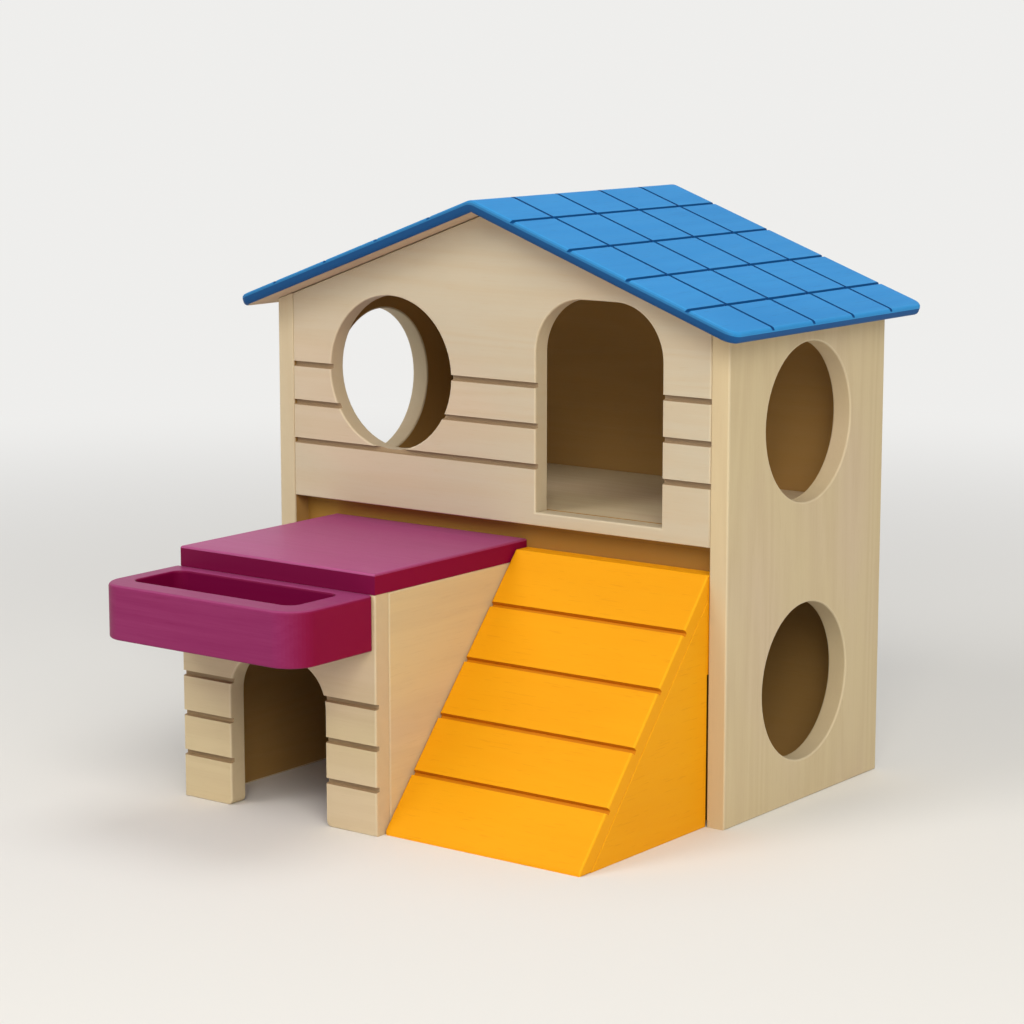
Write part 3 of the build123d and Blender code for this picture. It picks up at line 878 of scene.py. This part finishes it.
for node in ("front_roof_former", "rear_roof_former", "ridge_batten"):
    low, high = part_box(node)
    corners = [(low.x, low.z), (high.x, low.z), (high.x, under_roof(high.x)), (0, under_apex)]
    corners.append((low.x, under_roof(low.x)))
    former = cut_board(node, outline_of(corners), thickness=high.y - low.y)
    fit_piece(former, node, facing_front(high.y), along=2 if node == "ridge_batten" else 0)

# %% [markdown]
# ## The annex
# A low room in front of the house: a front board with an arch between two grooved posts, and two side
# walls. The front board is arched by the same function as the wall behind it, with softer feet.

# %% Annex walls
annex_groove_rise = 11.5 * mm
annex_foot_round = 1.6 * mm

annex_outline = arched(annex_low.x, annex_high.x, annex_high.z, annex_foot_round)
annex_front = cut_board("annex_front_wall", annex_outline)
first_cut = (annex_middle, annex_groove_rise, board)
annex_reach = 2 * (annex_high.x - annex_low.x)
saw_cuts(annex_front, natural, groove_count, first_cut, next_cut, annex_reach)
fit_piece(annex_front, "annex_front_wall", facing_front(annex_high.y), along=0, rough=rough_shaded_back)

for node, room_side in (("annex_left_wall", 1), ("annex_right_wall", -1)):
    low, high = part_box(node)
    corners = [(low.y, 0), (high.y, 0), (high.y, high.z), (low.y, high.z)]
    wall = cut_board(node, outline_of(corners))
    place = placed((low.x, 0, 0), (0, 1, 0), (0, 0, 1))
    fit_piece(wall, node, place, along=0, rough={room_side: room_rough_and_shade})

# %% [markdown]
# ## Deck and trough
# The purple deck is a plain board that lies on the annex walls, with a rounded upper edge. It fills its box,
# so the same function makes it as the floor and the rails.

# %% Deck
deck_arris = 0.6 * mm
block("deck_board", along=0, arris=deck_arris, back_arris=tight_arris)

# %% [markdown]
# The trough below the deck's front edge is one block with a routed pocket. A Boolean with a Bevel could cut
# it, but the roundings would run into each other at the narrow rims. It is built from rings again: up the
# outside, over the rounded rim, and down into the pocket. The front corners are round in plan, and the back
# stays flat, because it is glued to the wall.

# %% Feeding trough
trough_low, trough_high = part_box("feeding_trough")
trough_corner = 7.5 * mm
trough_back_corner = 0.6 * mm
trough_rim_round = 0.9 * mm
trough_foot_round = 0.5 * mm
left_rim = 5 * mm
right_rim = 7 * mm
front_rim = 7 * mm
back_rim = 3.6 * mm
pocket_corner = 3 * mm
pocket_lip = 0.6 * mm
pocket_floor = 5 * mm
pocket_floor_round = 2.2 * mm
least_radius = 0.2 * mm
corner_steps = 12
round_steps = 5
quarter_turn = [pi / 2 * k / round_steps for k in range(round_steps + 1)]


def round_box(low, high, radii, step_in, flat_back=False):
    """A rounded rectangle, stepped in on all sides or on all but its back, always with as many points."""
    west, south, east = low.x + step_in, low.y + step_in, high.x - step_in
    north = high.y if flat_back else high.y - step_in
    places = [(west, south, 1, 1), (east, south, -1, 1), (east, north, -1, -1), (west, north, 1, -1)]
    loop = []
    for number, ((x, y, to_x, to_y), radius) in enumerate(zip(places, radii)):
        radius = max(radius - step_in, least_radius)
        centre = complex(x + to_x * radius, y + to_y * radius)
        for k in range(corner_steps + 1):
            loop.append(centre + cmath.rect(radius, pi + pi / 2 * (number + k / corner_steps)))
    return loop


def trough_rings():
    """Each ring as (loop, height, and whether its faces are the rim's arris and the pocket's routed wood),
    from the underside up and over into the pocket.
    """
    radii = (trough_corner, trough_corner, trough_back_corner, trough_back_corner)
    pocket_low = Vector((trough_low.x + left_rim, trough_low.y + front_rim))
    pocket_high = Vector((trough_high.x - right_rim, trough_high.y - back_rim))
    for a in quarter_turn:
        loop = round_box(trough_low, trough_high, radii, trough_foot_round * (1 - sin(a)), flat_back=True)
        yield loop, trough_low.z + trough_foot_round * (1 - cos(a)), 0, 0
    for a in reversed(quarter_turn):
        loop = round_box(trough_low, trough_high, radii, trough_rim_round * (1 - sin(a)), flat_back=True)
        yield loop, trough_high.z - trough_rim_round * (1 - cos(a)), a < pi / 4, 0
    for a in quarter_turn:
        loop = round_box(pocket_low, pocket_high, [pocket_corner] * 4, pocket_lip * (sin(a) - 1))
        yield loop, trough_high.z - pocket_lip * (1 - cos(a)), a < pi / 4, a > pi / 4
    for a in quarter_turn:
        loop = round_box(pocket_low, pocket_high, [pocket_corner] * 4, pocket_floor_round * (1 - cos(a)))
        yield loop, trough_low.z + pocket_floor + pocket_floor_round * (1 - sin(a)), 0, 1


mesh = bmesh.new()
# The rim's rounded faces are marked as arris, where the finish paints a highlight.
on_arris = mesh.faces.layers.float.new("arris")
# The pocket's faces are marked as kerf, so the finish darkens them: painted shade in the pocket, as well as
# the deeper soak of routed wood.
on_kerf = mesh.faces.layers.float.new("kerf")
below = None
for loop, height, arris_lit, routed in trough_rings():
    ring = [mesh.verts.new((p.real, p.imag, height)) for p in loop]
    if below is None:
        mesh.faces.new(ring[::-1])
    else:
        for k in range(len(ring)):
            face = mesh.faces.new((below[k - 1], below[k], ring[k], ring[k - 1]))
            face[on_arris], face[on_kerf] = arris_lit, routed
    below = ring
mesh.faces.new(below)[on_kerf] = 1
bmesh.ops.recalc_face_normals(mesh, faces=mesh.faces)
trough = object_of("feeding_trough", mesh)
fit_piece(trough, "feeding_trough", Matrix.Identity(4), along=0)

# %% [markdown]
# ## The ramp
# A grooved tread on two triangular cheeks, and a batten at its head. One wedge would look alike from the
# front, but the real ramp is hollow. The tread and the cheeks are cut from their side view, and the four saw
# cuts are turned to lie on the slope.

# %% Ramp
ramp_nose = 1.2 * mm
tread_thickness = 4 * mm
tread_arris = 0.5 * mm
cheek_arris = 0.25 * mm
plank_count = 5

tread_low, tread_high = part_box("ramp_tread")
ramp_run = tread_high.y - tread_low.y
ramp_width = tread_high.x - tread_low.x
ramp_angle = atan2(tread_high.z - ramp_nose, ramp_run)
tread_drop = tread_thickness / cos(ramp_angle)
under_foot = tread_high.y - (tread_high.z - tread_drop) / tan(ramp_angle)
plank = ramp_run / plank_count
side_view = placed((tread_low.x, 0, 0), (0, 1, 0), (0, 0, 1))

corners = [(tread_low.y, 0), (under_foot, 0), (tread_high.y, tread_high.z - tread_drop)]
corners += [(tread_high.y, tread_high.z), (tread_low.y, ramp_nose)]
sizes = {"thickness": ramp_width, "arris": tread_arris, "back_arris": tread_arris}
tread = cut_board("ramp_tread", outline_of(corners), **sizes)
across = Vector((0, 0, 1))
outward = Vector((-sin(ramp_angle), cos(ramp_angle), 0))
turn = Matrix((across, outward.cross(across), outward)).transposed().to_euler()
first_cut = (tread_low.y + plank, ramp_nose + plank * tan(ramp_angle), ramp_width / 2)
step = (plank, plank * tan(ramp_angle), 0)
saw_cuts(tread, yellow, plank_count - 1, first_cut, step, 2 * ramp_width, turn=turn)
fit_piece(tread, "ramp_tread", side_view, along=2)

for node in ("ramp_left_cheek", "ramp_right_cheek"):
    low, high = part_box(node)
    corners = [(low.y, 0), (high.y, 0), (high.y, high.z)]
    cheek = cut_board(node, outline_of(corners), arris=cheek_arris, back_arris=cheek_arris)
    fit_piece(cheek, node, placed((low.x, 0, 0), (0, 1, 0), (0, 0, 1)), along=0)

block("ramp_head_batten", along=0)

# %% [markdown]
# ## Pegs
# The wooden pegs sit inside the joints, where nothing shows, so they stay as the model has them and only
# get their finish.

# %% Pegs
for node in ("wall_dowels", "annex_dowels", "trough_dowels", "ramp_dowels"):
    pegs = frame["nodes"][node]
    pegs.data.materials.clear()
    pegs.data.materials.append(finishes[slots[node]])
    print(node, "keep their model mesh")

# %% [markdown]
# ## Stage, light and camera
# A pale floor that fades into an equally pale surround, so no horizon shows. The paleness is only for the
# rays that show the surround: the light that the world casts on the house is weaker, and the floor near the
# house keeps its shadow.

# %% Floor and surround
floor_radius = 9
floor_segments = 96
fade_start = 0.22
fade_end = 0.75
floor_colour = (0.80, 0.795, 0.78, 1)
surround = (0.86, 0.855, 0.84, 1)
sky_light = (0.30, 0.305, 0.315, 1)


def shown(tree):
    """1 for the rays that show the surround: straight to the camera, mirrored or through glass."""
    ray = Wire.node(tree, "ShaderNodeLightPath")
    return ray.other("Is Camera Ray") + ray.other("Is Glossy Ray") + ray.other("Is Transmission Ray")


def pale_floor():
    """A matt floor near the house, which turns into the surround further out."""
    material, tree, shader = new_finish("pale_floor", specular=0.15)
    shader.inputs["Base Color"].default_value = floor_colour
    shader.inputs["Roughness"].default_value = 0.8
    place = Wire.node(tree, "ShaderNodeTexCoord").other("Object")
    reach = Wire.node(tree, "ShaderNodeVectorMath", {"operation": "LENGTH"}, {0: place}).other("Value")
    glow = Wire.node(tree, "ShaderNodeEmission", inputs={"Color": surround, "Strength": 1.0})
    share = step_up(reach, fade_start, fade_end) * shown(tree)
    mixed = Wire.node(tree, "ShaderNodeMixShader", inputs={0: share, 1: Wire(shader.outputs[0]), 2: glow})
    tree.links.new(mixed.socket, tree.nodes["Material Output"].inputs["Surface"])
    return material


mesh = bmesh.new()
bmesh.ops.create_circle(mesh, cap_ends=True, radius=floor_radius, segments=floor_segments)
floor = object_of("floor", mesh)
floor.data.materials.append(pale_floor())

world = bpy.data.worlds.new("surround")
world.use_nodes = True
bpy.context.scene.world = world
sky_tree = world.node_tree
sky = blend(sky_tree, shown(sky_tree), sky_light, surround)
sky_tree.links.new(sky.socket, sky_tree.nodes["Background"].inputs["Color"])
sky_tree.nodes["Background"].inputs["Strength"].default_value = 1.0
bpy.context.scene.view_settings.view_transform = "Standard"
print("the floor fades out from", fade_start, "to", fade_end, "m")

# %% [markdown]
# Three large soft lamps: one in front on the left, a warmer and stronger one on the right, and one above.
# The camera stands to the right of the front, a little above the house, with a long lens that keeps the
# upright edges nearly parallel.

# %% Lamps and camera
target = Vector((0.004, 0.004, 0.071))
view_azimuth = radians(37)
view_elevation = radians(9.7)
eye_distance = 0.72
lens = 100


def aimed(item, place, at):
    """Puts a lamp or the camera at a place and turns it to look at a point."""
    item.location = place
    item.rotation_euler = (Vector(at) - Vector(place)).to_track_quat("-Z", "Y").to_euler()
    bpy.context.scene.collection.objects.link(item)


def soft_lamp(name, place, size, watts, colour):
    """A round area lamp that looks at the house."""
    data = bpy.data.lights.new(name, "AREA")
    data.shape = "DISK"
    data.size = size
    data.energy = watts
    data.color = colour
    aimed(bpy.data.objects.new(name, data), place, target)


soft_lamp("left_lamp", (-0.55, -1.05, 1.05), size=0.8, watts=7.0, colour=(1.0, 0.97, 0.93))
soft_lamp("right_lamp", (0.80, -0.85, 0.80), size=0.9, watts=12.5, colour=(1.0, 0.94, 0.82))
soft_lamp("top_lamp", (0.1, 0.35, 1.5), size=0.9, watts=5.2, colour=(1.0, 1.0, 1.0))

camera = bpy.data.cameras.new("camera")
camera.lens = lens
camera.sensor_width = 36
level = cos(view_elevation)
towards_eye = Vector((sin(view_azimuth) * level, -cos(view_azimuth) * level, sin(view_elevation)))
eye = target + eye_distance * towards_eye
camera_object = bpy.data.objects.new("camera", camera)
aimed(camera_object, eye, target)
bpy.context.scene.camera = camera_object
print("camera at", [round(v, 3) for v in eye])

# %% [markdown]
